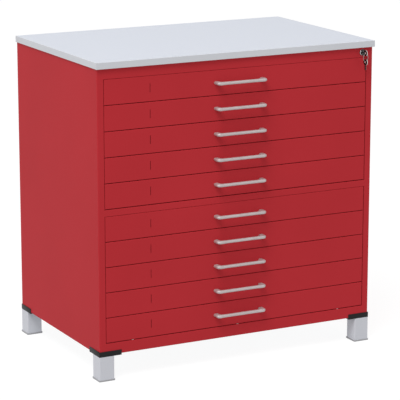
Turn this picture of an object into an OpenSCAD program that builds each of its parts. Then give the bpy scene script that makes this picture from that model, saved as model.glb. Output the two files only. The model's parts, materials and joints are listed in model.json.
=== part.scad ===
// Flat file cabinet: a steel plan chest with two banks of five shallow drawers.
// Millimetres, +Z up. The origin lies on the floor, under the middle of the overall box.

/* [Carcase] */
// Width over the side panels
carcase_w = 1000; // [860:5:1300]
// Depth from the front face to the back face
carcase_d = 635; // [560:5:900]
// Thickness of the carcase sheet
sheet_t = 1.2; // [0.8:0.1:1.6]
// Width of each front stile
stile_w = 22; // [20:1:34]
// Depth of the stile's inner lip
stile_lip_d = 15; // [8:1:19]
// Width of the side panels' return at the back
back_return_w = 20; // [10:1:30]
// Outer radius of the bend between side and stile
corner_r = 2; // [2:0.5:5]
// Height of the top rail, which holds the lock
top_rail_h = 33.7; // [33:0.1:45]
// Height of the rail between the banks
middle_rail_h = 21.9; // [16:0.1:40]
// Height of the rail under the lower bank
bottom_rail_h = 37.6; // [20:0.1:60]
// Depth of the rails' folded returns
rail_d = 20; // [16:0.5:20.5]
// Outer radius of the bends on rails and drawer fronts
bend_r = 1.7; // [1.7:0.1:2.5]
// Height of the folded edges of the top and bottom panels
panel_flange_h = 15; // [10:1:25]

/* [Worktop] */
// Thickness of the worktop
worktop_t = 21; // [16:0.5:40]
// How far the worktop stands out at each side
worktop_over_side = 4.3; // [2:0.1:30]
// How far the worktop stands out in front
worktop_over_front = 8.5; // [2.5:0.1:25]
// How far the worktop stands out behind
worktop_over_back = 1.7; // [0:0.1:20]
// Thickness of the worktop's edging strips
edging_t = 2; // [1.2:0.1:4]
// Radius of the edging's upper and lower edges
edging_r = 1; // [0.5:0.1:1.2]
// Distance of the worktop screws from the carcase's outer faces
worktop_screw_inset = 60; // [50:1:120]

/* [Legs] */
// Height of the carcase's underside above the floor
leg_h = 86; // [60:1:200]
// Side of the square legs
leg_side = 52; // [40:1:60]
// How far the legs' outer faces stand out past the carcase
leg_out = 2; // [0:0.5:4]
// Wall of the leg tubes and of their top plates
leg_wall = 2; // [1.5:0.1:4]
// Radius of the leg tubes' corners
leg_r = 3; // [2.5:0.1:5]
// Distance of the leg bolts from the carcase's outer faces
leg_bolt_inset = 25; // [24.5:0.5:28]
// Thickness of the foot under each leg
foot_t = 5; // [3:0.5:12]
// How far the foot stands out round its leg
foot_proud = 2; // [0.5:0.1:3]
// Height of the foot's plug inside the leg tube
foot_plug_h = 15; // [8:1:30]
// Length of the corner brackets' arms along the carcase
bracket_arm = 76; // [62:1:110]
// Width of each arm under the carcase
bracket_arm_w = 30; // [20:1:44]
// Thickness of the brackets' plate, between leg and carcase
bracket_plate_t = 4.8; // [2:0.1:6]
// Height of the brackets' lip up the carcase
bracket_lip_h = 12.5; // [5:0.5:18]
// Thickness of the brackets' lip
bracket_lip_t = 2; // [1:0.1:4]

/* [Drawer fronts] */
// Height of a drawer front
front_h = 80.7; // [76:0.1:120]
// Gap between two drawer fronts
front_gap = 2; // [1.2:0.1:4]
// Gap above the first front of a bank
front_gap_top = 0.6; // [0.5:0.1:3]
// Gap under the last front of a bank
front_gap_bottom = 2.3; // [2.2:0.1:5]
// Gap at each end of a drawer front
front_gap_side = 2; // [1:0.1:4]
// Depth of the folded drawer front
front_d = 18; // [14:0.5:22]
// Thickness of the drawer front's sheet
front_t = 1.2; // [0.8:0.1:1.6]
// Width of the lips behind the drawer front, which the tray is welded to
front_lip_w = 24; // [20:1:30]

/* [Trays] */
// Height of the trays
tray_h = 58; // [50:0.5:66]
// Thickness of the trays' sheet
tray_t = 1; // [0.8:0.1:1.5]
// Height of the trays' underside above the front's lower edge
tray_lift = 6; // [4:0.5:9]
// Gap between the trays and the back panel
tray_back_gap = 14.6; // [6:0.1:40]
// Depth of the hood at the back of each tray
hood_d = 60; // [20:1:120]
// Height of the hood's turned-down edge
hood_lip_h = 6; // [3:0.5:10]

/* [Slides] */
// Height of a telescopic slide
slide_h = 45; // [38:0.5:48]
// Width of a telescopic slide, between cabinet and tray
slide_w = 12.7; // [11:0.1:16]
// Sheet of the slide members
slide_t = 1.5; // [1:0.1:2]
// Running clearance between the slide members
slide_run = 0.4; // [0.3:0.05:0.6]
// Distance of the slides behind the front face
slide_setback = 24; // [23:0.5:35]
// Gap between the slides and the back panel
slide_back_gap = 23.6; // [10:0.1:50]
// Width of the posts that carry the slides
upright_w = 40; // [30:1:60]
// Sheet of the posts
upright_t = 1.5; // [1:0.1:2.5]
// Distance of the front posts behind the front face
upright_setback = 40; // [36:1:60]
// Distance of the rear posts from the slides' rear ends
upright_end_gap = 25; // [5:1:60]

/* [Handles] */
// Distance between the handle's screws
handle_cc = 165; // [96:1:256]
// Diameter of the handle's bar
handle_d = 10.5; // [8.5:0.5:12]
// Reach of the handle in front of the drawer front
handle_reach = 29; // [28:0.5:45]
// Radius of the handle's bends, along the bar's middle
handle_bend_r = 6.5; // [6.5:0.5:13]
// Width of each foot, along the bar
handle_foot_w = 17.5; // [15:0.5:24]
// Spread of each foot's web from the front towards the bar
handle_web_spread = 3; // [1:0.5:8]
// Step from the bar's round down to the web's flat
handle_web_step = 0.5; // [0.3:0.1:1]
// Diameter of the handle screws
handle_screw_d = 4; // [3:0.5:5]
// Diameter of the handle screws' heads
handle_screw_head_d = 8; // [7:0.5:10]
// Height of the handle screws' heads
handle_screw_head_h = 2.5; // [1.5:0.1:3.5]
// Depth of the handle screws in the handle's feet
handle_screw_grip = 7; // [4:0.5:8]

/* [Front slits] */
// Height of the narrow slit in each drawer front
slit_h = 28; // [15:0.5:45]
// Width of the slit
slit_w = 1.8; // [0.4:0.1:2.4]
// Distance of the slit from the left end of the front
slit_inset = 159; // [60:1:250]
// Height of the slit's middle above the front's middle
slit_rise = 3; // [-10:0.5:10]

/* [Lock] */
// Distance of the lock from the right outer face
lock_inset = 38; // [36:0.5:70]
// Diameter of the lock's rim in front of the rail
lock_rim_d = 22; // [20:0.5:26]
// Thickness of the lock's rim
lock_rim_t = 4; // [2:0.5:6]
// Diameter of the lock's body
lock_body_d = 16; // [14:0.5:18]
// Depth of the lock's body behind the front face
lock_body_l = 20; // [18:0.5:22]
// Diameter of the lock's plug
lock_plug_d = 10; // [9:0.5:11]
// Width across the corners of the lock's nut
lock_nut_d = 25; // [22:0.5:27]
// Thickness of the lock's nut
lock_nut_t = 4; // [3:0.5:6]
// Throw of the cam, from the lock's axis to its pin
cam_r = 11; // [9.5:0.5:11]
// Thickness of the cam
cam_t = 3; // [2:0.5:4]
// Width of the cam's arm
cam_w = 8; // [7:0.5:10]
// Diameter of the cam's pin
cam_pin_d = 4; // [3:0.5:5]
// Diameter of the key's bow
key_bow_d = 20; // [14:0.5:24]
// Diameter of the hole in the key's bow
key_hole_d = 7; // [4:0.5:9]
// Reach of the key in front of the drawer fronts
key_reach = 30; // [26:0.5:36]
// Thickness of the key
key_t = 2.2; // [1.5:0.1:2.6]
// Height of the key's blade
key_blade_h = 7; // [5:0.5:7.5]
// Depth of the key's slot behind the front face
key_slot_l = 12; // [8:0.5:13]
// Width of the upright lock bar
lock_bar_w = 14; // [11:0.5:15]
// Thickness of the lock bar
lock_bar_t = 3; // [2:0.5:4]
// Height of the bar's fork, which holds the cam's pin
lock_fork_h = 14; // [12:0.5:14.5]
// Height of the catches along the lock bar
lock_catch_h = 12; // [6:1:30]
// Reach of the catches beside the lock bar
lock_catch_w = 2; // [1:0.5:2.5]
// Gap between the cam and the lock bar behind it
lock_bar_gap = 1.2; // [0.6:0.1:2.4]
// Height of the lock bar's lower end above the bottom rail
lock_bar_end_gap = 12; // [4:1:20]

/* [Fasteners] */
// Diameter of the bolts that hold the legs
leg_bolt_d = 8; // [6:1:10]
// Diameter of the screws that hold the worktop
worktop_screw_d = 4; // [3:0.5:5]
// Depth of the worktop screws in the board
worktop_screw_grip = 12; // [8:0.5:14]
// Diameter of the shoulder screws that guide the lock bar
shoulder_d = 6; // [5:0.5:7]
// Distance of the lowest shoulder screw from the lock bar's lower end
shoulder_low_gap = 45; // [30:1:120]
// Distance of the highest shoulder screw from the cam's pin
shoulder_high_gap = 70; // [40:1:150]
// Diameter of the buffers on the bottom rail
buffer_d = 8; // [5:0.5:12]
// Height of the buffers
buffer_h = 1.9; // [1:0.1:1.9]
// Distance of the outer buffers from the ends of the rail
buffer_inset = 96; // [40:1:200]
// Distance of the buffers behind the front face
buffer_setback = 5.7; // [5.7:0.1:11]

/* [Hidden] */
$fn = 48;
red = "#ab2d34";
pale_grey = "#dde1ea";
edge_grey = "#c5cacd";
satin_metal = "#cdc6c6";
leg_grey = "#bebec5";
bracket_black = "#201f1f";
zinc = "#a9adb1";
nylon = "#f0f0ea";
steel = "#8b8e92";
lock_black = "#2c2b2b";

// Clearance round screws and bolts, round the feet's plugs, and of the lock's plug
hole_play = 0.3;
plug_play = 0.3;
turn_play = 0.08;
// Play of the cam's pin in the bar's fork, and of the bar on its shoulder screws
fork_play = 0.7;
bar_play = 0.4;
// Joint line between two pieces of one group, so that each stays a piece of its own
joint_line = 0.05;
// Depth by which a cut runs past a face
past = 1;

bank_drawers = 5;
drawer_count = 2 * bank_drawers;
half_w = carcase_w / 2;
inner_half = half_w - sheet_t;
opening_half = half_w - stile_w;
front_half = opening_half - front_gap_side;
tray_half = opening_half - slide_w;
bank_h = front_gap_top + bank_drawers * front_h + (bank_drawers - 1) * front_gap + front_gap_bottom;
middle_rail_z = bottom_rail_h + bank_h;
top_rail_z = middle_rail_z + middle_rail_h + bank_h;
carcase_h = top_rail_z + top_rail_h;
back_panel_y = carcase_d - 2 * sheet_t;
tray_end_y = back_panel_y - tray_back_gap;
slide_end_y = back_panel_y - slide_back_gap;
rear_upright_y = slide_end_y - upright_end_gap - upright_w;

// The front face's place along Y puts the origin under the middle of the overall box.
front_reach = max(handle_reach, key_reach, worktop_over_front);
back_reach = max(worktop_over_back, bracket_lip_t, leg_out + foot_proud);
front_y = (front_reach - carcase_d - back_reach) / 2;

// The lock's parts lie one behind the other, from the front face backwards.
plug_proud = 2;
fork_gap = 1.5;
lock_x = half_w - lock_inset;
lock_z = top_rail_z + top_rail_h / 2;
plug_end_y = lock_body_l + plug_proud;
cam_y = plug_end_y + joint_line;
cam_end_y = cam_y + cam_t;
cam_head_y = cam_end_y + joint_line;
lock_bar_y = cam_end_y + lock_bar_gap;
lock_bar_end_y = lock_bar_y + lock_bar_t;
cam_rest_angle = -45;
cam_screw_d = 3;
cam_screw_head_d = 6.5;
cam_screw_head_h = 2;
cam_screw_grip = 6;
fork_z = lock_z + cam_r * sin(cam_rest_angle);
lock_lift = -2 * cam_r * sin(cam_rest_angle);
lock_bar_x = opening_half + (inner_half - opening_half - lock_bar_w) / 2;
fork_open_x = lock_x + cam_screw_head_d / 2 + fork_gap;
lock_bar_z = bottom_rail_h + lock_bar_end_gap;
shoulder_head_d = 10;
shoulder_head_h = 2;
shoulder_tip_d = 4;
shoulder_tip_l = 6;
shoulder_low_z = lock_bar_z + shoulder_low_gap;
shoulder_high_z = fork_z - shoulder_high_gap;
shoulder_zs = [shoulder_low_z, (shoulder_low_z + shoulder_high_z) / 2, shoulder_high_z];
leg_inset = leg_side / 2 - leg_out;
leg_bolt_head_d = 1.9 * leg_bolt_d;
leg_bolt_head_h = 0.65 * leg_bolt_d;
worktop_screw_head_d = 2.2 * worktop_screw_d;
worktop_screw_head_h = 0.6 * worktop_screw_d;

function two_digits(i) = i < 10 ? str("0", i) : str(i);
function drawer_node(i, piece) = str("drawer_", two_digits(i), "_", piece);

// Lower edge of a drawer front, above the carcase's underside; drawer 1 is the top one.
function bank_top(i) = i <= bank_drawers ? top_rail_z : middle_rail_z;
function row_in_bank(i) = (i - 1) % bank_drawers;
function front_z(i) = bank_top(i) - front_gap_top - front_h - row_in_bank(i) * (front_h + front_gap);
function tray_z(i) = front_z(i) + tray_lift;
function slide_z(i) = tray_z(i) + (tray_h - slide_h) / 2;

// Carcase frame: Y counts back from the front face, Z up from the carcase's underside.
module in_carcase() {
    translate([0, front_y, leg_h]) children();
}

// Box between two limits along each axis
module block(x, y, z) {
    translate([x[0], y[0], z[0]]) cube([x[1] - x[0], y[1] - y[0], z[1] - z[0]]);
}

// Round bar along Y, from one depth to another
module rod_y(d, from, to) {
    translate([0, from, 0]) rotate([-90, 0, 0]) cylinder(d = d, h = to - from);
}

module both_sides() {
    children();
    mirror([1, 0, 0]) children();
}

// The four corners of the carcase, each drawn as the front right one
module each_corner() {
    both_sides() {
        children();
        translate([0, carcase_d, 0]) mirror([0, 1, 0]) children();
    }
}

// Quarter of a bend in sheet of thickness t, whose outer corner is at the origin
module quarter_bend(r, t) {
    intersection() {
        square(r);
        translate([r, r]) difference() {
            circle(r);
            circle(r - t);
        }
    }
}

// Square with round corners
module round_square(side, r) {
    inner = side - 2 * r;
    translate([-side / 2, -inner / 2]) square([side, inner]);
    translate([-inner / 2, -side / 2]) square([inner, side]);
    for (sx = [-1, 1], sy = [-1, 1]) translate([sx * inner / 2, sy * inner / 2]) circle(r);
}

// Rectangle of width w and depth d, with its two front corners rounded
module round_front(w, d, r) {
    translate([-w / 2, r]) square([w, d - r]);
    translate([-w / 2 + r, 0]) square([w - 2 * r, d]);
    for (side = [-1, 1]) translate([side * (w / 2 - r), r]) circle(r);
}

// Block with its four front edges rounded, centred on X and Z
module round_front_block(w, d, h, r) {
    intersection() {
        translate([0, 0, -h / 2]) linear_extrude(h) round_front(w, d, r);
        translate([-w / 2, 0, 0]) rotate([90, 0, 90]) linear_extrude(w) mirror([1, -1]) round_front(h, d, r);
    }
}

// Section of the left side panel: skin, stile, inner lip and back return
module side_section() {
    translate([-half_w, 0]) {
        quarter_bend(corner_r, sheet_t);
        translate([0, corner_r]) square([sheet_t, carcase_d - corner_r]);
        translate([corner_r, 0]) square([stile_w - corner_r, sheet_t]);
        translate([stile_w - sheet_t, 0]) square([sheet_t, stile_lip_d]);
        translate([0, carcase_d - sheet_t]) square([back_return_w, sheet_t]);
    }
}

module left_side_panel() {
    color(red) in_carcase() linear_extrude(carcase_h) side_section();
}

module right_side_panel() {
    color(red) in_carcase() mirror([1, 0, 0]) linear_extrude(carcase_h) side_section();
}

module back_panel() {
    color(red) in_carcase()
        block([-inner_half, inner_half], [back_panel_y, back_panel_y + sheet_t], [0, carcase_h]);
}

// Flat panel with turned edges along both sides; its outer face is at z = 0
module flanged_panel() {
    block([-inner_half, inner_half], [rail_d, back_panel_y], [0, sheet_t]);
    both_sides() block([inner_half - sheet_t, inner_half], [rail_d, back_panel_y], [0, panel_flange_h]);
}

module worktop_screw_places() {
    for (x = [worktop_screw_inset - half_w, 0, half_w - worktop_screw_inset])
        for (y = [worktop_screw_inset, carcase_d - worktop_screw_inset])
            translate([x, y, carcase_h]) children();
}

module leg_bolt_places() {
    each_corner() translate([half_w - leg_bolt_inset, leg_bolt_inset, 0]) children();
}

module leg_bolt_holes() {
    reach = bracket_plate_t + leg_wall + past;
    leg_bolt_places() translate([0, 0, -reach]) cylinder(d = leg_bolt_d + 2 * hole_play, h = 2 * reach);
}

module top_panel() {
    color(red) in_carcase() difference() {
        translate([0, 0, carcase_h]) mirror([0, 0, 1]) flanged_panel();
        worktop_screw_places() translate([0, 0, -sheet_t - past])
            cylinder(d = worktop_screw_d + 2 * hole_play, h = sheet_t + 2 * past);
    }
}

module bottom_panel() {
    color(zinc) in_carcase() difference() {
        flanged_panel();
        leg_bolt_holes();
    }
}

// Section of a rail in depth and height: face, lower return and upper return
module rail_section(h) {
    quarter_bend(bend_r, sheet_t);
    translate([0, h]) mirror([0, 1]) quarter_bend(bend_r, sheet_t);
    translate([0, bend_r]) square([sheet_t, h - 2 * bend_r]);
    translate([bend_r, 0]) square([rail_d - bend_r, sheet_t]);
    translate([bend_r, h - sheet_t]) square([rail_d - bend_r, sheet_t]);
}

module rail(z, h) {
    translate([-opening_half, 0, z]) rotate([90, 0, 90]) linear_extrude(2 * opening_half) rail_section(h);
}

module at_lock() {
    translate([lock_x, 0, lock_z]) children();
}

module top_rail() {
    color(red) in_carcase() difference() {
        rail(top_rail_z, top_rail_h);
        at_lock() rod_y(lock_body_d + 2 * hole_play, -past, sheet_t + past);
    }
}

module middle_rail() {
    color(red) in_carcase() rail(middle_rail_z, middle_rail_h);
}

module bottom_rail() {
    color(red) in_carcase() difference() {
        rail(0, bottom_rail_h);
        leg_bolt_holes();
    }
}

module rail_buffers() {
    color(nylon) in_carcase()
        for (x = [buffer_inset - opening_half, 0, opening_half - buffer_inset])
            translate([x, buffer_setback, bottom_rail_h]) cylinder(d = buffer_d, h = buffer_h);
}

// Edging strip along X, with its outer face at y = 0 and its outer edges rounded
module edging(l) {
    translate([-l / 2, 0, worktop_t / 2]) rotate([90, 0, 90]) linear_extrude(l) mirror([1, -1])
        round_front(worktop_t, edging_t, edging_r);
}

module worktop() {
    top_half = half_w + worktop_over_side;
    top_from = -worktop_over_front;
    top_to = carcase_d + worktop_over_back;
    board_inset = edging_t + joint_line;
    side_l = top_to - top_from - 2 * board_inset;
    side_mid = (top_to + top_from) / 2;
    in_carcase() translate([0, 0, carcase_h]) {
        color(pale_grey) difference() {
            block(
                [board_inset - top_half, top_half - board_inset],
                [top_from + board_inset, top_to - board_inset],
                [0, worktop_t]
            );
            translate([0, 0, -carcase_h]) worktop_screw_places() translate([0, 0, -past])
                cylinder(d = worktop_screw_d + 2 * hole_play, h = worktop_screw_grip + hole_play + past);
        }
        color(edge_grey) {
            translate([0, top_from, 0]) edging(2 * top_half);
            translate([0, top_to, 0]) mirror([0, 1, 0]) edging(2 * top_half);
            both_sides() translate([-top_half, side_mid, 0]) rotate(-90) edging(side_l);
        }
    }
}

// Folded post: its web faces the slides, its two flanges reach the side panel
module upright(y) {
    web = [opening_half, opening_half + upright_t];
    reach = [opening_half, inner_half];
    span = [panel_flange_h, carcase_h - panel_flange_h];
    block(web, [y, y + upright_w], span);
    block(reach, [y, y + upright_t], span);
    block(reach, [y + upright_w - upright_t, y + upright_w], span);
}

module slide_uprights() {
    color(zinc) in_carcase() difference() {
        both_sides() {
            upright(upright_setback);
            upright(rear_upright_y);
        }
        shoulder_places() translate([0, upright_setback, 0])
            rod_y(shoulder_tip_d + 2 * hole_play, -past, upright_t + past);
    }
}

// Channel along the slide's length: its web spans web, its flanges reach across span
module slide_channel(web, span, h) {
    mid = slide_h / 2;
    for (part = [
        [web, [mid - h / 2, mid + h / 2]],
        [span, [mid - h / 2, mid - h / 2 + slide_t]],
        [span, [mid + h / 2 - slide_t, mid + h / 2]]
    ]) block(part[0], [slide_setback, slide_end_y], part[1]);
}

// The three members of the right slide, nested with a running clearance
step_h = 2 * (slide_t + slide_run);
from_cabinet = opening_half;
module cabinet_member() {
    slide_channel([from_cabinet - slide_t, from_cabinet], [tray_half + slide_run, from_cabinet], slide_h);
}

module middle_member() {
    web_to = from_cabinet - slide_t - slide_run;
    slide_channel([web_to - slide_t, web_to], [tray_half + slide_run, web_to], slide_h - step_h);
}

module tray_member() {
    seat = tray_half + joint_line;
    reach = from_cabinet - 2 * (slide_t + slide_run);
    slide_channel([seat, seat + slide_t], [seat, reach], slide_h - 2 * step_h);
}

module cabinet_slides() {
    color(zinc) in_carcase()
        for (i = [1 : drawer_count]) translate([0, 0, slide_z(i)]) both_sides() cabinet_member();
}

module drawer_slides(i) {
    color(zinc) in_carcase() translate([0, 0, slide_z(i)]) both_sides() middle_member();
}

// Corner bracket under the front right corner: plate with two arms, and a lip up both outer faces
module leg_bracket() {
    outer = half_w + bracket_lip_t;
    leg_in = leg_side - leg_out;
    difference() {
        union() {
            translate([0, 0, -bracket_plate_t]) linear_extrude(bracket_plate_t) polygon([
                [outer, -bracket_lip_t],
                [outer, bracket_arm],
                [half_w - bracket_arm_w, bracket_arm],
                [half_w - leg_in, leg_in],
                [half_w - bracket_arm, bracket_arm_w],
                [half_w - bracket_arm, -bracket_lip_t]
            ]);
            block([half_w, outer], [-bracket_lip_t, bracket_arm], [0, bracket_lip_h]);
            block([half_w - bracket_arm, outer], [-bracket_lip_t, 0], [0, bracket_lip_h]);
        }
        leg_bolt_holes();
    }
}

module leg_brackets() {
    color(bracket_black) in_carcase() each_corner() leg_bracket();
}

// Square tube with a closed top, bolted through the bracket
module leg() {
    l = leg_h - bracket_plate_t - foot_t;
    difference() {
        translate([half_w - leg_inset, leg_inset, foot_t - leg_h]) difference() {
            linear_extrude(l) round_square(leg_side, leg_r);
            translate([0, 0, -past]) linear_extrude(l - leg_wall + past)
                round_square(leg_side - 2 * leg_wall, leg_r - leg_wall / 2);
        }
        leg_bolt_holes();
    }
}

module legs() {
    color(leg_grey) in_carcase() each_corner() leg();
}

module leg_foot() {
    plug_side = leg_side - 2 * (leg_wall + plug_play);
    translate([half_w - leg_inset, leg_inset, -leg_h]) {
        linear_extrude(foot_t) round_square(leg_side + 2 * foot_proud, leg_r);
        linear_extrude(foot_t + foot_plug_h) round_square(plug_side, leg_r);
    }
}

module leg_feet() {
    color(steel) in_carcase() each_corner() leg_foot();
}

module shoulder_places() {
    for (z = shoulder_zs) translate([lock_bar_x + lock_bar_w / 2, 0, z]) children();
}

// Leg bolt: hexagon head inside the cabinet, shank down through the bracket into the leg
module leg_bolt() {
    reach = bracket_plate_t + leg_wall + leg_bolt_d / 2;
    translate([0, 0, sheet_t]) cylinder(d = leg_bolt_head_d, h = leg_bolt_head_h, $fn = 6);
    translate([0, 0, -reach]) cylinder(d = leg_bolt_d, h = reach + sheet_t);
}

// Worktop screw: head under the top panel, shank up into the board
module worktop_screw() {
    translate([0, 0, -sheet_t - worktop_screw_head_h])
        cylinder(d = worktop_screw_head_d, h = worktop_screw_head_h);
    translate([0, 0, -sheet_t]) cylinder(d = worktop_screw_d, h = sheet_t + worktop_screw_grip);
}

// Shoulder screw: its head keeps the lock bar on, its shoulder stands on the post
module shoulder_screw() {
    head_to = lock_bar_y - bar_play;
    rod_y(shoulder_head_d, head_to - shoulder_head_h, head_to);
    rod_y(shoulder_d, head_to, upright_setback);
    rod_y(shoulder_tip_d, upright_setback, upright_setback + shoulder_tip_l);
}

module carcase_fasteners() {
    color(steel) in_carcase() {
        leg_bolt_places() leg_bolt();
        worktop_screw_places() worktop_screw();
        shoulder_places() shoulder_screw();
    }
}

// Lock housing: rim and body through the rail, and the nut behind it
module lock_housing() {
    bore_d = lock_plug_d + 2 * turn_play;
    color(lock_black) in_carcase() at_lock() {
        difference() {
            union() {
                rod_y(lock_rim_d, -lock_rim_t, 0);
                rod_y(lock_body_d, 0, lock_body_l);
            }
            rod_y(bore_d, -lock_rim_t - past, lock_body_l + past);
        }
        difference() {
            translate([0, sheet_t, 0]) rotate([-90, 0, 0]) cylinder(d = lock_nut_d, h = lock_nut_t, $fn = 6);
            rod_y(lock_body_d + 2 * hole_play, 0, sheet_t + lock_nut_t + past);
        }
    }
}

// Cam behind the plug: boss, arm and pin, drawn at its rest angle
module lock_cam() {
    rotate([0, -cam_rest_angle, 0]) {
        difference() {
            union() {
                rod_y(cam_w, cam_y, cam_end_y);
                block([0, cam_r], [cam_y, cam_end_y], [-cam_w / 2, cam_w / 2]);
                translate([cam_r, 0, 0]) rod_y(cam_w, cam_y, cam_end_y);
            }
            rod_y(cam_screw_d + 2 * hole_play, plug_end_y - past, cam_end_y + past);
        }
        translate([cam_r, 0, 0]) rod_y(cam_pin_d, cam_end_y, lock_bar_end_y + past);
    }
}

module lock_plug() {
    slot_half = key_t / 2 + turn_play;
    slot_h = key_blade_h / 2 + turn_play;
    color(steel) in_carcase() at_lock() {
        difference() {
            rod_y(lock_plug_d, -lock_rim_t, plug_end_y);
            block([-slot_half, slot_half], [-lock_rim_t - past, key_slot_l], [-slot_h, slot_h]);
            rod_y(cam_screw_d + 2 * hole_play, plug_end_y - cam_screw_grip - hole_play, plug_end_y + past);
        }
        lock_cam();
        rod_y(cam_screw_d, plug_end_y - cam_screw_grip, cam_head_y);
        rod_y(cam_screw_head_d, cam_head_y, cam_head_y + cam_screw_head_h);
    }
}

// Flat key: blade in the plug, neck, and a round bow with its hole
module lock_key() {
    bow_y = key_bow_d / 2 - key_reach;
    half_t = key_t / 2;
    half_h = key_blade_h / 2;
    color(satin_metal) in_carcase() at_lock() difference() {
        union() {
            block([-half_t, half_t], [bow_y, key_slot_l - turn_play], [-half_h, half_h]);
            translate([-half_t, bow_y, 0]) rotate([0, 90, 0]) cylinder(d = key_bow_d, h = key_t);
        }
        translate([-half_t - past, bow_y, 0]) rotate([0, 90, 0])
            cylinder(d = key_hole_d, h = key_t + 2 * past);
    }
}

// Lock bar: an upright strip with slots and catches, and the fork plate welded on its upper end
module lock_bar() {
    depth = [lock_bar_y, lock_bar_end_y];
    cut = [lock_bar_y - past, lock_bar_end_y + past];
    bar = [lock_bar_x, lock_bar_x + lock_bar_w];
    fork = [fork_z - lock_fork_h / 2, fork_z + lock_fork_h / 2];
    pin_half = cam_pin_d / 2 + fork_play;
    slot_half = shoulder_d / 2 + bar_play;
    color(zinc) in_carcase() difference() {
        union() {
            block(bar, depth, [lock_bar_z, fork[0] - joint_line]);
            block([fork_open_x, bar[1]], depth, fork);
            for (i = [1 : drawer_count])
                block([lock_bar_x - lock_catch_w, lock_bar_x], depth, [tray_z(i), tray_z(i) + lock_catch_h]);
        }
        block([fork_open_x - past, lock_x + cam_r + pin_half], cut, [fork_z - pin_half, fork_z + pin_half]);
        for (z = shoulder_zs) {
            mid = lock_bar_x + lock_bar_w / 2;
            block([mid - slot_half, mid + slot_half], cut, [z - slot_half - lock_lift, z + slot_half]);
        }
    }
}

module handle_screw_places() {
    for (side = [-1, 1]) translate([side * handle_cc / 2, 0, 0]) children();
}

module at_front(i) {
    translate([0, 0, front_z(i) + front_h / 2]) children();
}

// Drawer front: a folded pan with lips behind it, and a narrow slit near its left end
module drawer_front(i) {
    inner_w = 2 * (front_half - front_t);
    inner_h = front_h - 2 * front_t;
    window_half = front_half - front_lip_w;
    window_h = front_h / 2 - front_lip_w / 2;
    color(red) in_carcase() at_front(i) difference() {
        round_front_block(2 * front_half, front_d, front_h, bend_r);
        translate([0, front_t, 0])
            round_front_block(inner_w, front_d - 2 * front_t, inner_h, bend_r - front_t);
        translate([0, front_d, 0])
            block([-window_half, window_half], [-front_t - past, past], [-window_h, window_h]);
        handle_screw_places() rod_y(handle_screw_d + 2 * hole_play, -past, front_t + past);
        translate([slit_inset - front_half, 0, slit_rise])
            block([-slit_w / 2, slit_w / 2], [-past, front_t + past], [-slit_h / 2, slit_h / 2]);
    }
}

// Drawer tray: bottom, four walls and the hood at the back, with the slides' drawer members
module drawer_tray(i) {
    depth = [front_d, tray_end_y];
    across = [-tray_half, tray_half];
    full = [0, tray_h];
    hood_y = tray_end_y - hood_d;
    in_carcase() translate([0, 0, tray_z(i)]) {
        color(red) union() {
            block(across, depth, [0, tray_t]);
            both_sides() block([tray_half - tray_t, tray_half], depth, full);
            block(across, [front_d, front_d + tray_t], full);
            block(across, [tray_end_y - tray_t, tray_end_y], full);
            block(across, [hood_y, tray_end_y], [tray_h - tray_t, tray_h]);
            block(across, [hood_y, hood_y + tray_t], [tray_h - hood_lip_h, tray_h]);
        }
        color(zinc) translate([0, 0, (tray_h - slide_h) / 2]) both_sides() tray_member();
    }
}

// Bow handle: a bar bent into two legs, each with a web on its inner side and drilled for its screw
module drawer_handle(i) {
    bar_y = handle_d / 2 - handle_reach;
    leg_x = (handle_cc + handle_foot_w - handle_d) / 2;
    bend_x = leg_x - handle_bend_r;
    bend_y = bar_y + handle_bend_r;
    foot_x = (handle_cc - handle_foot_w) / 2;
    web_t = handle_d - 2 * handle_web_step;
    bend_points = [for (a = [0:15:90]) [bend_x + handle_bend_r * cos(a), bend_y - handle_bend_r * sin(a)]];
    web_points = concat([[foot_x, 0], [leg_x, 0]], bend_points, [[foot_x - handle_web_spread, bar_y]]);
    bore_d = handle_screw_d + 2 * hole_play;
    in_carcase() at_front(i) {
        color(satin_metal) difference() {
            union() {
                translate([-bend_x, bar_y, 0]) rotate([0, 90, 0]) cylinder(d = handle_d, h = 2 * bend_x);
                both_sides() {
                    translate([bend_x, bend_y, 0]) rotate(-90) rotate_extrude(angle = 90)
                        translate([handle_bend_r, 0]) circle(d = handle_d);
                    translate([leg_x, 0, 0]) rod_y(handle_d, bend_y, 0);
                    translate([0, 0, -web_t / 2]) linear_extrude(web_t) polygon(web_points);
                }
            }
            handle_screw_places() rod_y(bore_d, -handle_screw_grip - hole_play, past);
        }
        color(steel) handle_screw_places() {
            rod_y(handle_screw_d, -handle_screw_grip, front_t);
            rod_y(handle_screw_head_d, front_t, front_t + handle_screw_head_h);
        }
    }
}

left_side_panel();
right_side_panel();
back_panel();
top_panel();
bottom_panel();
top_rail();
middle_rail();
bottom_rail();
rail_buffers();
worktop();
slide_uprights();
cabinet_slides();
leg_brackets();
legs();
leg_feet();
carcase_fasteners();
lock_housing();
lock_plug();
lock_key();
lock_bar();
for (i = [1 : drawer_count]) {
    drawer_front(i);
    drawer_tray(i);
    drawer_slides(i);
    drawer_handle(i);
}
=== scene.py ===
import json
from math import asin, copysign, cos, pi, radians, sin

import bmesh
import bpy
from mathutils import Matrix, Vector


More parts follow.
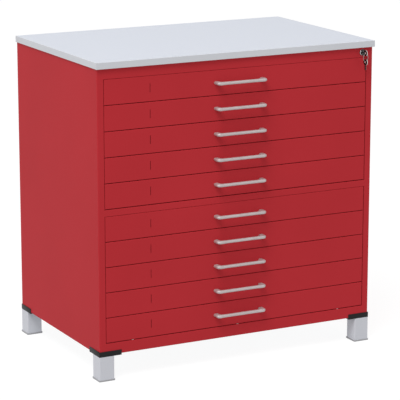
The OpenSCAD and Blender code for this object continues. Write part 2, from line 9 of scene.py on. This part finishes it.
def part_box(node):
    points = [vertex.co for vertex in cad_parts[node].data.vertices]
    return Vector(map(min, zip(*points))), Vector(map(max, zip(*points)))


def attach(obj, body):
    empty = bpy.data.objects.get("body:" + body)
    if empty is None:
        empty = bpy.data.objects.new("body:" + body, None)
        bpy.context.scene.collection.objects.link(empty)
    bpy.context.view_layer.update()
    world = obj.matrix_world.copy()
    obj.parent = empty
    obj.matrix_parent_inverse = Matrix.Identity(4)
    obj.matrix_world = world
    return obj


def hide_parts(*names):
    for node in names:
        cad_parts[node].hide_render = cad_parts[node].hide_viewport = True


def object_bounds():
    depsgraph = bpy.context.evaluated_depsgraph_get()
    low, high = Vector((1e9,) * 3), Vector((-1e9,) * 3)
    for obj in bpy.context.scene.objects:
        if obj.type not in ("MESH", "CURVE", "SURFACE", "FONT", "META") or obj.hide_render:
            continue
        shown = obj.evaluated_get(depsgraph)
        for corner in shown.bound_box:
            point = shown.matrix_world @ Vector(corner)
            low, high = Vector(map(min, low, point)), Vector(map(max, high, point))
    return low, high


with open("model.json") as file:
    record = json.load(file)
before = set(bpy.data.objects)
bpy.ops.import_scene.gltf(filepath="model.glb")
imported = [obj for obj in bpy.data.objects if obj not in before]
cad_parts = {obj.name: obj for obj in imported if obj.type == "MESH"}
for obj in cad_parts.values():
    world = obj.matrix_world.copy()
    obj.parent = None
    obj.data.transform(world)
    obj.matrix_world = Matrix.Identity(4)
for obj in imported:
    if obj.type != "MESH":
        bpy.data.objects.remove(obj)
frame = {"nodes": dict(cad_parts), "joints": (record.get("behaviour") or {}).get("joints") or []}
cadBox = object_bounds()
nodes = frame["nodes"]
scene = bpy.context.scene
scene.view_settings.view_transform = "Standard"

# The front face of the rails is where the drawer fronts, handles and lock are set out from
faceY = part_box("middle_rail")[0].y
drawerNames = [name.removesuffix("_front") for name in sorted(nodes) if name.endswith("_front")]


# Finishes: every pattern lies on Object coordinates, and its size is the width of one blotch in metres
patternLook = dict(low=0.3, high=0.7, relief=0.6)  # the span that noise fills, and the bumps' strength


def setSockets(tree, node, sockets):
    for key, value in sockets.items():
        if isinstance(value, bpy.types.NodeSocket):
            tree.links.new(value, node.inputs[key])
        else:
            node.inputs[key].default_value = value


def addNode(tree, kind, sockets=None, **settings):
    node = tree.nodes.new("ShaderNode" + kind)
    for key, value in settings.items():
        setattr(node, key, value)
    setSockets(tree, node, sockets or {})
    return node


def newFinish(name):
    finish = bpy.data.materials.new(name)
    finish.use_nodes = True
    return finish, finish.node_tree, finish.node_tree.nodes["Principled BSDF"]


def noise(tree, size, detail=2.0, stretch=(1, 1, 1)):
    place = addNode(tree, "TexCoord").outputs["Object"]
    turned = addNode(tree, "Mapping", {"Vector": place, "Scale": stretch}).outputs["Vector"]
    return addNode(tree, "TexNoise", {"Vector": turned, "Scale": 1 / size, "Detail": detail}).outputs[0]


def tones(tree, pattern, dark, light):
    ramp = addNode(tree, "ValToRGB", {"Fac": pattern})
    for stop, end, tone in zip(ramp.color_ramp.elements, ("low", "high"), (dark, light)):
        stop.position = patternLook[end]
        stop.color = (*tone, 1)
    return ramp.outputs["Color"]


def between(tree, pattern, low, high):
    span = {
        "Value": pattern, "From Min": patternLook["low"], "From Max": patternLook["high"],
        "To Min": low, "To Max": high,
    }
    return addNode(tree, "MapRange", span).outputs[0]


def relief(tree, pattern, height):
    bump = {"Height": pattern, "Strength": patternLook["relief"], "Distance": height}
    return addNode(tree, "Bump", bump).outputs["Normal"]


# 1 where a point lies further out than half from centre, along X or Y, and 0 elsewhere
def outside(tree, centre, half):
    place = addNode(tree, "TexCoord").outputs["Object"]
    moved = addNode(tree, "VectorMath", {0: place, 1: centre}, operation="SUBTRACT").outputs[0]
    folded = addNode(tree, "VectorMath", {0: moved}, operation="ABSOLUTE").outputs[0]
    past = addNode(tree, "VectorMath", {0: folded, 1: half}, operation="SUBTRACT").outputs[0]
    axes = addNode(tree, "SeparateXYZ", {0: past}).outputs
    furthest = addNode(tree, "Math", {0: axes["X"], 1: axes["Y"]}, operation="MAXIMUM").outputs[0]
    return addNode(tree, "Math", {0: furthest, 1: 0.0}, operation="GREATER_THAN").outputs[0]


def mixTones(tree, mask, inner, outer):
    return addNode(tree, "MixRGB", {"Fac": mask, "Color1": inner, "Color2": outer}).outputs[0]


# Stove enamel on steel sheet: slow drift of tone, and a fine orange peel
def enamel(name, look):
    finish, tree, shader = newFinish(name)
    drift = noise(tree, look["driftSize"], detail=3)
    peel = noise(tree, look["peelSize"])
    setSockets(tree, shader, {
        "Base Color": tones(tree, drift, look["dark"], look["light"]),
        "Roughness": between(tree, peel, *look["roughness"]),
        "Specular IOR Level": look["specular"],
        "Normal": relief(tree, peel, look["peelHeight"]),
    })
    return finish


# Plated or drawn metal: streaks along one direction, over a slow drift of tone
def platedMetal(name, look):
    finish, tree, shader = newFinish(name)
    streaks = noise(tree, look["streakSize"], detail=4, stretch=look["streakStretch"])
    drift = noise(tree, look["driftSize"])
    setSockets(tree, shader, {
        "Base Color": tones(tree, drift, look["dark"], look["light"]),
        "Metallic": look["metallic"],
        "Roughness": between(tree, streaks, *look["roughness"]),
        "Normal": relief(tree, streaks, look["streakHeight"]),
    })
    return finish


# Moulded plastic: a fine spark-eroded grain
def mouldedPlastic(name, look):
    finish, tree, shader = newFinish(name)
    grain = noise(tree, look["grainSize"], detail=3)
    setSockets(tree, shader, {
        "Base Color": tones(tree, grain, look["dark"], look["light"]),
        "Roughness": between(tree, grain, *look["roughness"]),
        "Specular IOR Level": look["specular"],
        "Normal": relief(tree, grain, look["grainHeight"]),
    })
    return finish


redLook = dict(
    dark=(0.545, 0.0345, 0.0435), light=(0.574, 0.0365, 0.0465), driftSize=0.30,
    peelSize=0.0024, peelHeight=0.00003, roughness=(0.40, 0.50), specular=0.03,
)
legLook = dict(
    dark=(0.682, 0.695, 0.750), light=(0.733, 0.747, 0.803), driftSize=0.0009,
    peelSize=0.0016, peelHeight=0.00003, roughness=(0.36, 0.46), specular=0.4,
)
# Handle tones: satin grey with a pinkish tint, which is a painted reflection of the red fronts round
# the handles
satinWithPaintedReflectionLook = dict(
    dark=(0.525, 0.465, 0.465), light=(0.575, 0.515, 0.515), driftSize=0.02, metallic=0.35,
    streakSize=0.0006, streakStretch=(0.06, 1, 1), streakHeight=0.000012, roughness=(0.40, 0.52),
)
zincLook = dict(
    dark=(0.44, 0.46, 0.49), light=(0.58, 0.60, 0.62), driftSize=0.012, metallic=1.0,
    streakSize=0.0010, streakStretch=(1, 0.04, 1), streakHeight=0.00001, roughness=(0.28, 0.42),
)
boltLook = dict(
    dark=(0.36, 0.37, 0.38), light=(0.46, 0.47, 0.48), driftSize=0.004, metallic=1.0,
    streakSize=0.0006, streakStretch=(1, 1, 1), streakHeight=0.00001, roughness=(0.30, 0.45),
)
nickelLook = dict(
    dark=(0.27, 0.26, 0.25), light=(0.35, 0.34, 0.33), driftSize=0.004, metallic=1.0,
    streakSize=0.0004, streakStretch=(1, 0.1, 1), streakHeight=0.000006, roughness=(0.24, 0.34),
)
chromeLook = dict(
    dark=(0.53, 0.52, 0.51), light=(0.60, 0.59, 0.58), driftSize=0.004, metallic=1.0,
    streakSize=0.0004, streakStretch=(1, 0.1, 1), streakHeight=0.000004, roughness=(0.12, 0.20),
)
plugLook = dict(
    dark=(0.16, 0.155, 0.15), light=(0.22, 0.215, 0.21), driftSize=0.003, metallic=1.0,
    streakSize=0.0003, streakStretch=(1, 1, 1), streakHeight=0.000006, roughness=(0.28, 0.40),
)
blackLook = dict(
    dark=(0.007, 0.007, 0.007), light=(0.012, 0.012, 0.012), grainSize=0.0011,
    grainHeight=0.00004, roughness=(0.42, 0.56), specular=0.20,
)
lockLook = dict(
    dark=(0.010, 0.010, 0.010), light=(0.016, 0.016, 0.016), grainSize=0.0008,
    grainHeight=0.000008, roughness=(0.16, 0.24), specular=0.6,
)
footLook = dict(
    dark=(0.40, 0.40, 0.42), light=(0.46, 0.46, 0.48), grainSize=0.0012,
    grainHeight=0.00004, roughness=(0.46, 0.60), specular=0.4,
)
nylonLook = dict(
    dark=(0.78, 0.78, 0.74), light=(0.86, 0.86, 0.82), grainSize=0.0010,
    grainHeight=0.00002, roughness=(0.35, 0.45), specular=0.5,
)
finishes = {
    "red_paint": enamel("redEnamel", redLook),
    "leg_paint": enamel("silverEnamel", legLook),
    "satin_metal": platedMetal("satinHandle", satinWithPaintedReflectionLook),
    "zinc_steel": platedMetal("zincPlate", zincLook),
    "fastener_steel": platedMetal("boltPlate", boltLook),
    "lock_nickel": platedMetal("keyNickel", nickelLook),
    "bracket_plastic": mouldedPlastic("bracketBlack", blackLook),
    "lock_black": mouldedPlastic("lockBlack", lockLook),
    "foot_plastic": mouldedPlastic("footGrey", footLook),
    "nylon": mouldedPlastic("bufferNylon", nylonLook),
}

# Worktop: pale laminate with a pearl grain, and edging strips a shade greyer
boardLook = dict(
    dark=(0.667, 0.698, 0.778), light=(0.707, 0.743, 0.823), speckSize=0.0016, driftSize=0.2,
    edgeDark=(0.69, 0.705, 0.745), edgeLight=(0.73, 0.745, 0.785), edgingWidth=0.00203,
    pearlHeight=0.00003, roughness=(0.42, 0.52), specular=0.3,
)


def laminate(name, look, node):
    low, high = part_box(node)
    inset = Vector((look["edgingWidth"], look["edgingWidth"], 0))
    finish, tree, shader = newFinish(name)
    speck = noise(tree, look["speckSize"], detail=3)
    board = tones(tree, speck, look["dark"], look["light"])
    edging = tones(tree, noise(tree, look["driftSize"]), look["edgeDark"], look["edgeLight"])
    strip = outside(tree, (low + high) / 2, (high - low) / 2 - inset)
    setSockets(tree, shader, {
        "Base Color": mixTones(tree, strip, board, edging),
        "Roughness": between(tree, speck, *look["roughness"]),
        "Specular IOR Level": look["specular"],
        "Normal": relief(tree, speck, look["pearlHeight"]),
    })
    return finish


finishes["worktop_laminate"] = laminate("paleLaminate", boardLook, "worktop")

# Tray: enamel like the fronts, and the zinc slide members on its two sides
trayLook = dict(memberFrom=0.465325, pastEnds=2.0)


def trayFinish(name, look, paint, plate):
    finish, tree, shader = newFinish(name)
    drift = noise(tree, paint["driftSize"], detail=3)
    peel = noise(tree, paint["peelSize"])
    member = outside(tree, (0, 0, 0), (look["memberFrom"], look["pastEnds"], 1))
    red = tones(tree, drift, paint["dark"], paint["light"])
    zinc = tones(tree, noise(tree, plate["driftSize"]), plate["dark"], plate["light"])
    setSockets(tree, shader, {
        "Base Color": mixTones(tree, member, red, zinc),
        "Metallic": member,
        "Roughness": between(tree, peel, *paint["roughness"]),
        "Specular IOR Level": paint["specular"],
        "Normal": relief(tree, peel, paint["peelHeight"]),
    })
    return finish


for node in nodes.values():
    node.material_slots[0].material = finishes[node.material_slots[0].material.name]
drawerSteel = trayFinish("trayEnamel", trayLook, redLook, zincLook)
for drawer in drawerNames:
    nodes[drawer + "_tray"].material_slots[0].material = drawerSteel
nodes["lock_plug"].material_slots[0].material = platedMetal("plugNickel", plugLook)
print("finishes set on", len(nodes), "nodes")


# Pieces: each is a mesh at the origin, rides on its body and takes the finish of its slot
meshLook = dict(
    merge=1e-6, flatTo=radians(1), smoothTo=radians(32), softFrom=radians(40), plateFrom=radians(60),
)


def addPiece(name, bm, body, slot):
    bmesh.ops.recalc_face_normals(bm, faces=bm.faces)
    mesh = bpy.data.meshes.new(name)
    bm.to_mesh(mesh)
    bm.free()
    mesh.materials.append(finishes[slot])
    mesh.shade_smooth()
    mesh.set_sharp_from_angle(angle=meshLook["smoothTo"])
    piece = bpy.data.objects.new(name, mesh)
    scene.collection.objects.link(piece)
    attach(piece, body)
    return piece


# A profile of (radius, depth) points, turned about a line along Y through centre
def turnProfile(bm, profile, centre, steps, closed):
    verts = [bm.verts.new(centre + Vector((radius, depth, 0))) for radius, depth in profile]
    ends = verts[1:] + verts[:1] if closed else verts[1:]
    edges = [bm.edges.new(pair) for pair in zip(verts, ends)]
    bmesh.ops.spin(
        bm, geom=verts + edges, cent=centre, axis=(0, 1, 0), angle=2 * pi, steps=steps, use_merge=True)
    bmesh.ops.remove_doubles(bm, verts=bm.verts, dist=meshLook["merge"])


# A copy of a CAD node with its sharp edges softened
def softCopy(node, look):
    bm = bmesh.new()
    bm.from_mesh(nodes[node].data)
    bmesh.ops.remove_doubles(bm, verts=bm.verts, dist=meshLook["merge"])
    bmesh.ops.dissolve_limit(bm, angle_limit=meshLook["flatTo"], verts=bm.verts, edges=bm.edges)
    closed = [edge for edge in bm.edges if edge.is_manifold]
    sharp = [edge for edge in closed if edge.calc_face_angle() > meshLook["softFrom"]]
    bmesh.ops.bevel(
        bm, geom=sharp, offset=look["edge"], offset_type="OFFSET", segments=look["segments"],
        profile=0.5, affect="EDGES", material=-1, clamp_overlap=True)
    return bm


def drawOut(bm, face):
    made = bmesh.ops.extrude_face_region(bm, geom=[face])["geom"]
    return next(item for item in made if isinstance(item, bmesh.types.BMFace))


# Bow handles: a cast bar whose flat oval feet run into it round a tight corner
handleLook = dict(
    footWidth=0.0175, spread=0.0020, innerRound=0.0050, outerRound=0.0118, footBevel=0.0005,
    sides=28, cornerSteps=9,
    screw=0.0020, screwHead=0.0040, headHeight=0.0025, headRound=0.0012, screwSteps=20,
)


# A section across the handle lies in the upright plane through its inner and outer point
def section(inner, outer):
    across = (outer - inner).normalized()
    upright = Vector((0, 0, 1))
    turned = Matrix((across, upright, across.cross(upright))).transposed().to_4x4()
    return Matrix.Translation((inner + outer) / 2) @ turned


# The last section is drawn out to the next one, and its halves move apart to the new width
def nextSection(bm, face, now, then):
    face = drawOut(bm, face)
    widen = ((then[1] - then[0]).length - (now[1] - now[0]).length) / 2
    flat = section(*now).inverted()
    placed = section(*then)
    for vert in face.verts:
        spot = flat @ vert.co
        spot.x += widen * copysign(1, spot.x)
        vert.co = placed @ spot
    return face


# Inner and outer points of the sections, from the left foot round its corner to the bar's middle
def bowStations(low, radius, middleZ, look):
    innerRound = look["innerRound"]
    outerRound = look["outerRound"]
    footIn = low.x + look["footWidth"]
    barBack = low.y + 2 * radius
    innerTurn = Vector((footIn + look["spread"] + innerRound, barBack + innerRound, middleZ))
    outerTurn = Vector((low.x + outerRound, low.y + outerRound, middleZ))
    stations = [(Vector((footIn, faceY, middleZ)), Vector((low.x, faceY, middleZ)))]
    for step in range(look["cornerSteps"] + 1):
        turn = pi / 2 * step / look["cornerSteps"]
        aim = Vector((-cos(turn), -sin(turn), 0))
        stations.append((innerTurn + innerRound * aim, outerTurn + outerRound * aim))
    for x in (innerTurn.x + 2 * radius, 0):
        stations.append((Vector((x, barBack, middleZ)), Vector((x, low.y, middleZ))))
    return stations


# Half of the handle is drawn out section by section, and mirrored
def bowHandle(node, look):
    low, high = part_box(node)
    radius = (high.z - low.z) / 2
    stations = bowStations(low, radius, (high.z + low.z) / 2, look)
    bm = bmesh.new()
    first = (stations[0][0] + stations[0][1]) / 2
    bar = section(first + Vector((radius, 0, 0)), first - Vector((radius, 0, 0)))
    bmesh.ops.create_circle(
        bm, cap_ends=True, radius=radius, segments=look["sides"],
        matrix=bar @ Matrix.Rotation(pi / look["sides"], 4, "Z"))
    face = bm.faces[:][0]
    half = look["footWidth"] / 2 - radius
    for vert in bm.verts:
        vert.co.x += half * copysign(1, vert.co.x - first.x)
    for now, then in zip(stations, stations[1:]):
        face = nextSection(bm, face, now, then)
    bmesh.ops.delete(bm, geom=[face], context="FACES_ONLY")
    whole = bm.verts[:] + bm.edges[:] + bm.faces[:]
    bmesh.ops.mirror(bm, geom=whole, axis="X", merge_dist=meshLook["merge"])
    seat = {vert for vert in bm.verts if abs(vert.co.y - faceY) < meshLook["merge"]}
    rims = [edge for edge in bm.edges if seat.issuperset(edge.verts)]
    bmesh.ops.bevel(
        bm, geom=rims, offset=look["footBevel"], offset_type="OFFSET", segments=2, profile=0.5,
        affect="EDGES", material=-1)
    return bm


# Two pan-head screws behind the front, one in the middle of each foot
def handleScrews(node, look):
    low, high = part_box(node)
    shank = look["screw"]
    head = look["screwHead"]
    headTo = high.y - faceY
    headFrom = headTo - look["headHeight"]
    profile = [
        (0, 0), (shank, 0), (shank, headFrom), (head, headFrom), (head, headTo - look["headRound"]),
        (head - look["headRound"], headTo), (0, headTo),
    ]
    bm = bmesh.new()
    for x in (low.x + look["footWidth"] / 2, high.x - look["footWidth"] / 2):
        turnProfile(bm, profile, Vector((x, faceY, (low.z + high.z) / 2)), look["screwSteps"], False)
    return bm


for drawer in drawerNames:
    solid = drawer + "_handle"
    handle = addPiece(drawer + "_bow_handle", bowHandle(solid, handleLook), drawer, "satin_metal")
    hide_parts(solid)
    addPiece(drawer + "_handle_screws", handleScrews(solid, handleLook), drawer, "fastener_steel")
print("bow handles:", len(drawerNames))

# Corner brackets and feet: moulded, so their edges are soft
bracketLook = dict(edge=0.0007, segments=2)
feetLook = dict(edge=0.0009, segments=3)
bracketShape = softCopy("leg_brackets", bracketLook)
brackets = addPiece("corner_brackets", bracketShape, "cabinet", "bracket_plastic")
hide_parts("leg_brackets")
feet = addPiece("foot_caps", softCopy("leg_feet", feetLook), "cabinet", "foot_plastic")
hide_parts("leg_feet")
print("brackets and feet")

# Buffers: three nylon studs on the bottom rail, with rounded tops
bufferLook = dict(edge=0.0005, segments=3)
buffers = addPiece("nylon_buffers", softCopy("rail_buffers", bufferLook), "cabinet", "nylon")
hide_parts("rail_buffers")
print("buffers")

# Lock: a black rim with a narrow bright ring and a low flange round it, a threaded body and its nut
rimLook = dict(
    bore=0.00508, body=0.0080, rim=0.0090, rise=0.0040, lip=0.0005, depth=0.0200, lead=0.0006,
    bezel=0.0102, bezelRise=0.0028, bezelBase=0.0016, bezelBore=0.0092,
    flange=0.0110, flangeRise=0.0014, flangeBore=0.0104,
    nutBore=0.0096, nutRadius=0.0125, nutFrom=0.0012, nutTo=0.0052, nutSides=6, steps=48, lipSteps=5,
)
lockAxis = Vector(next(joint["pos_m"] for joint in frame["joints"] if joint["name"] == "lock_turn"))


def lockRim(look):
    lip = look["lip"]
    turns = [pi / 2 * step / look["lipSteps"] for step in range(look["lipSteps"] + 1)]
    rounded = [
        (look["rim"] - lip + lip * sin(turn), lip - look["rise"] - lip * cos(turn)) for turn in turns
    ]
    profile = [
        (look["bore"], look["depth"]),
        (look["bore"], look["lead"] - look["rise"]),
        (look["bore"] + look["lead"], -look["rise"]),
        *rounded,
        (look["rim"], 0),
        (look["body"], 0),
        (look["body"], look["depth"]),
    ]
    nut = [
        (look["nutBore"], look["nutFrom"]),
        (look["nutRadius"], look["nutFrom"]),
        (look["nutRadius"], look["nutTo"]),
        (look["nutBore"], look["nutTo"]),
    ]
    flange = [
        (look["flangeBore"], 0),
        (look["flangeBore"], -look["flangeRise"]),
        (look["flange"] - lip, -look["flangeRise"]),
        (look["flange"], lip - look["flangeRise"]),
        (look["flange"], 0),
    ]
    bm = bmesh.new()
    turnProfile(bm, profile, lockAxis, look["steps"], True)
    turnProfile(bm, flange, lockAxis, look["steps"], True)
    turnProfile(bm, nut, lockAxis, look["nutSides"], True)
    return bm


# Bright ring round the rim, sloping down to the flange
def lockBezel(look):
    profile = [
        (look["bezelBore"], 0),
        (look["bezelBore"], -look["bezelRise"]),
        (look["bezel"], -look["bezelBase"]),
        (look["bezel"], 0),
    ]
    bm = bmesh.new()
    turnProfile(bm, profile, lockAxis, look["steps"], True)
    return bm


rim = addPiece("lock_rim", lockRim(rimLook), "cabinet", "lock_black")
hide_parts("lock_housing")
bezel = addPiece("lock_bezel", lockBezel(rimLook), "cabinet", "lock_nickel")
bezel.data.materials[0] = platedMetal("bezelChrome", chromeLook)
print("lock rim and bezel")

# Keys: a flat plate with a round bow, drawn along U from the bow's middle to the tip, across V
keyLook = dict(
    bow=0.0100, hole=0.0035, bladeHalf=0.0035, thick=0.0022, bowSides=40, holeSides=24, edge=0.0003,
    cuts=((0.40, 0.0010), (0.52, 0.0018), (0.66, 0.0007), (0.80, 0.0015)), cutHalf=0.045,
    # Key tones: near black for the flat faces, which is painted shade; bright for the edges, which is a
    # painted highlight; a darker tone for the spare key's blade
    paintedShadeDark=(0.045, 0.043, 0.042), paintedShadeLight=(0.075, 0.072, 0.070), faceFrom=0.75, faceFull=0.95,
    edgeDark=(0.62, 0.60, 0.58), edgeLight=(0.72, 0.70, 0.68),
    bladeDark=(0.130, 0.123, 0.119), bladeLight=(0.165, 0.157, 0.150), driftSize=0.004,
    grainSize=0.0005, grainHeight=0.000006, roughness=(0.26, 0.38),
)


# Key metal: painted shade on the flat faces, a painted highlight on the bow's cut edges, and a darker
# tone on the blade below bladeZ
def keyMetalPaintedLight(name, look, bladeZ):
    finish, tree, shader = newFinish(name)
    drift = noise(tree, look["driftSize"])
    grain = noise(tree, look["grainSize"], detail=3)
    coords = addNode(tree, "TexCoord").outputs
    facing = addNode(tree, "SeparateXYZ", {0: coords["Normal"]}).outputs["X"]
    flat = addNode(tree, "Math", {0: facing}, operation="ABSOLUTE").outputs[0]
    span = {"Value": flat, "From Min": look["faceFrom"], "From Max": look["faceFull"]}
    onPaintedShade = addNode(tree, "MapRange", span).outputs[0]
    # the edge tones are a painted highlight and the face tones painted shade, picked by how far the
    # normal points along X
    edge = tones(tree, drift, look["edgeDark"], look["edgeLight"])
    face = tones(tree, drift, look["paintedShadeDark"], look["paintedShadeLight"])
    blade = tones(tree, drift, look["bladeDark"], look["bladeLight"])
    height = addNode(tree, "SeparateXYZ", {0: coords["Object"]}).outputs["Z"]
    onBow = addNode(tree, "Math", {0: height, 1: bladeZ}, operation="GREATER_THAN").outputs[0]
    setSockets(tree, shader, {
        "Base Color": mixTones(tree, onBow, blade, mixTones(tree, onPaintedShade, edge, face)),
        "Metallic": 1.0,
        "Roughness": between(tree, grain, *look["roughness"]),
        "Normal": relief(tree, grain, look["grainHeight"]),
    })
    return finish


def flatKey(look, length, place):
    root = asin(look["bladeHalf"] / look["bow"])
    half = look["bladeHalf"]
    sweep = 2 * (pi - root)
    turns = [root + sweep * step / look["bowSides"] for step in range(look["bowSides"] + 1)]
    outline = [(look["bow"] * cos(turn), look["bow"] * sin(turn)) for turn in turns]
    for at, deep in look["cuts"]:
        outline += [
            (length * (at - look["cutHalf"]), -half),
            (length * at, deep - half),
            (length * (at + look["cutHalf"]), -half),
        ]
    slope = length - half / 2
    outline += [(slope, -half), (length, -half / 3), (length, half / 3), (slope, half)]
    turns = [2 * pi * step / look["holeSides"] for step in range(look["holeSides"])]
    hole = [(look["hole"] * cos(turn), look["hole"] * sin(turn)) for turn in turns]
    bm = bmesh.new()
    edges = []
    for loop in (outline, hole):
        verts = [bm.verts.new((-look["thick"] / 2, u, v)) for u, v in loop]
        edges += [bm.edges.new(pair) for pair in zip(verts, verts[1:] + verts[:1])]
    bmesh.ops.triangle_fill(bm, use_beauty=True, edges=edges)
    made = bmesh.ops.extrude_face_region(bm, geom=bm.faces[:])["geom"]
    raised = [item for item in made if isinstance(item, bmesh.types.BMVert)]
    bmesh.ops.translate(bm, vec=(look["thick"], 0, 0), verts=raised)
    bmesh.ops.recalc_face_normals(bm, faces=bm.faces)
    sharp = [edge for edge in bm.edges if edge.calc_face_angle() > meshLook["plateFrom"]]
    bmesh.ops.bevel(
        bm, geom=sharp, offset=look["edge"], offset_type="OFFSET", segments=2, profile=0.5,
        affect="EDGES", material=-1, clamp_overlap=True)
    bmesh.ops.transform(bm, matrix=place, verts=bm.verts)
    return bm


keyLow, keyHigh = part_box("lock_key")
bowMiddle = Vector((lockAxis.x, keyLow.y + keyLook["bow"], lockAxis.z))
keyShape = flatKey(keyLook, keyHigh.y - bowMiddle.y, Matrix.Translation(bowMiddle))
lockKey = addPiece("key_in_lock", keyShape, "lock_core", "lock_nickel")
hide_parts("lock_key")

# Split ring through the bow, with the spare key that hangs from it
ringLook = dict(
    radius=0.0120, wire=0.0006, sides=10, steps=72, turns=2, twist=20, spareLength=0.0265, spareTwist=7,
)


def splitRing(look, centre):
    bm = bmesh.new()
    pitch = 2 * look["wire"]
    start = Matrix.Translation(centre + Vector((0, -pitch * look["turns"] / 2, look["radius"])))
    turned = start @ Matrix.Rotation(pi / 2, 4, "Y")
    bmesh.ops.create_circle(
        bm, cap_ends=True, radius=look["wire"], segments=look["sides"], matrix=turned)
    climb = (0, pitch * look["turns"] / look["steps"], 0)
    bmesh.ops.spin(
        bm, geom=bm.faces[:], cent=centre, axis=(0, 1, 0), dvec=climb, angle=2 * pi * look["turns"],
        steps=look["steps"])
    twist = Matrix.Rotation(radians(look["twist"]), 3, "Z")
    bmesh.ops.rotate(bm, cent=centre, matrix=twist, verts=bm.verts)
    return bm


ringTop = bowMiddle.z - keyLook["hole"] + ringLook["wire"]
ringMiddle = Vector((bowMiddle.x, bowMiddle.y, ringTop - ringLook["radius"]))
addPiece("key_ring", splitRing(ringLook, ringMiddle), "cabinet", "lock_nickel")
spareTop = ringMiddle.z - ringLook["radius"] + ringLook["wire"]
spareMiddle = Vector((bowMiddle.x, bowMiddle.y, spareTop - keyLook["hole"]))
turned = Matrix.Rotation(radians(ringLook["spareTwist"]), 4, "Z") @ Matrix.Rotation(-pi / 2, 4, "X")
spareShape = flatKey(keyLook, ringLook["spareLength"], Matrix.Translation(spareMiddle) @ turned)
spareKey = addPiece("spare_key", spareShape, "cabinet", "lock_nickel")
# the keys' finish carries painted shade on their faces and a painted highlight on their edges
keyPaintedLightFinish = keyMetalPaintedLight("keyPlatePaintedLight", keyLook, spareMiddle.z - keyLook["bow"])
for key in (lockKey, spareKey):
    key.data.materials[0] = keyPaintedLightFinish
print("keys and ring")

# Camera: where the photograph was taken from, in metres from the front face's foot, and degrees
cameraLook = dict(
    place=(-3.0811, -5.6320, 2.0358), down=13.10, turn=27.565, lens=183.19, sensor=36.0,
)
lens = bpy.data.cameras.new("photoCamera")
lens.lens = cameraLook["lens"]
lens.sensor_width = cameraLook["sensor"]
camera = bpy.data.objects.new("photoCamera", lens)
camera.location = Vector((0, faceY, 0)) + Vector(cameraLook["place"])
camera.rotation_euler = (radians(90 - cameraLook["down"]), 0, radians(-cameraLook["turn"]))
scene.collection.objects.link(camera)
scene.camera = camera

# Studio: soft key from the upper left, even surroundings, and a pale floor that shows as white
studioLook = dict(
    surround=0.55, keyFrom=(-0.46, -0.36, 0.81), keyDistance=12.0, keySize=6.0, keyLevel=0.50,
    floorBounce=0.18, floorLift=0.38, floorGlow=0.88, floorShade=0.2, floorSize=60.0,
)


def seenDirectly(tree):
    rays = addNode(tree, "LightPath").outputs
    seen = rays["Is Camera Ray"]
    for kind in ("Is Glossy Ray", "Is Transmission Ray"):
        seen = addNode(tree, "Math", {0: seen, 1: rays[kind]}, operation="MAXIMUM").outputs[0]
    return seen


def makeSurround(look):
    world = bpy.data.worlds.new("studioSurround")
    world.use_nodes = True
    tree = world.node_tree
    lit = tree.nodes["Background"]
    lit.inputs["Color"].default_value = (1, 1, 1, 1)
    lit.inputs["Strength"].default_value = look["surround"]
    white = addNode(tree, "Background", {"Color": (1, 1, 1, 1), "Strength": 1.0})
    both = addNode(tree, "MixShader", {0: seenDirectly(tree), 1: lit.outputs[0], 2: white.outputs[0]})
    tree.links.new(both.outputs[0], tree.nodes["World Output"].inputs["Surface"])
    scene.world = world


def makeKey(look):
    lamp = bpy.data.lights.new("softKey", "AREA")
    lamp.size = look["keySize"]
    lamp.energy = look["keyLevel"] * (pi * look["keyDistance"]) ** 2  # level 1: a colour as written
    key = bpy.data.objects.new("softKey", lamp)
    aim = Vector(look["keyFrom"]).normalized()
    key.location = Vector((0, 0, cadBox[1].z / 2)) + aim * look["keyDistance"]
    key.rotation_euler = aim.to_track_quat("Z", "Y").to_euler()
    key.visible_camera = False
    scene.collection.objects.link(key)


def makeFloor(look):
    bm = bmesh.new()
    bmesh.ops.create_grid(bm, x_segments=1, y_segments=1, size=look["floorSize"] / 2)
    mesh = bpy.data.meshes.new("studioFloor")
    bm.to_mesh(mesh)
    bm.free()
    finish, tree, shader = newFinish("studioFloor")
    tree.nodes.remove(shader)
    level = look["floorBounce"]
    shade = look["floorShade"]
    matt = addNode(tree, "BsdfDiffuse", {"Color": (level, level, level, 1)})
    lift = addNode(tree, "Emission", {"Color": (1, 1, 1, 1), "Strength": look["floorLift"]})
    bounce = addNode(tree, "AddShader", {0: matt.outputs[0], 1: lift.outputs[0]})
    soft = addNode(tree, "BsdfDiffuse", {"Color": (shade, shade, shade, 1)})
    glow = addNode(tree, "Emission", {"Color": (1, 1, 1, 1), "Strength": look["floorGlow"]})
    shown = addNode(tree, "AddShader", {0: soft.outputs[0], 1: glow.outputs[0]})
    seen = seenDirectly(tree)
    both = addNode(tree, "MixShader", {0: seen, 1: bounce.outputs[0], 2: shown.outputs[0]})
    tree.links.new(both.outputs[0], tree.nodes["Material Output"].inputs["Surface"])
    mesh.materials.append(finish)
    floor = bpy.data.objects.new("studioFloor", mesh)
    scene.collection.objects.link(floor)


makeSurround(studioLook)
makeKey(studioLook)
makeFloor(studioLook)
print("camera and studio set")
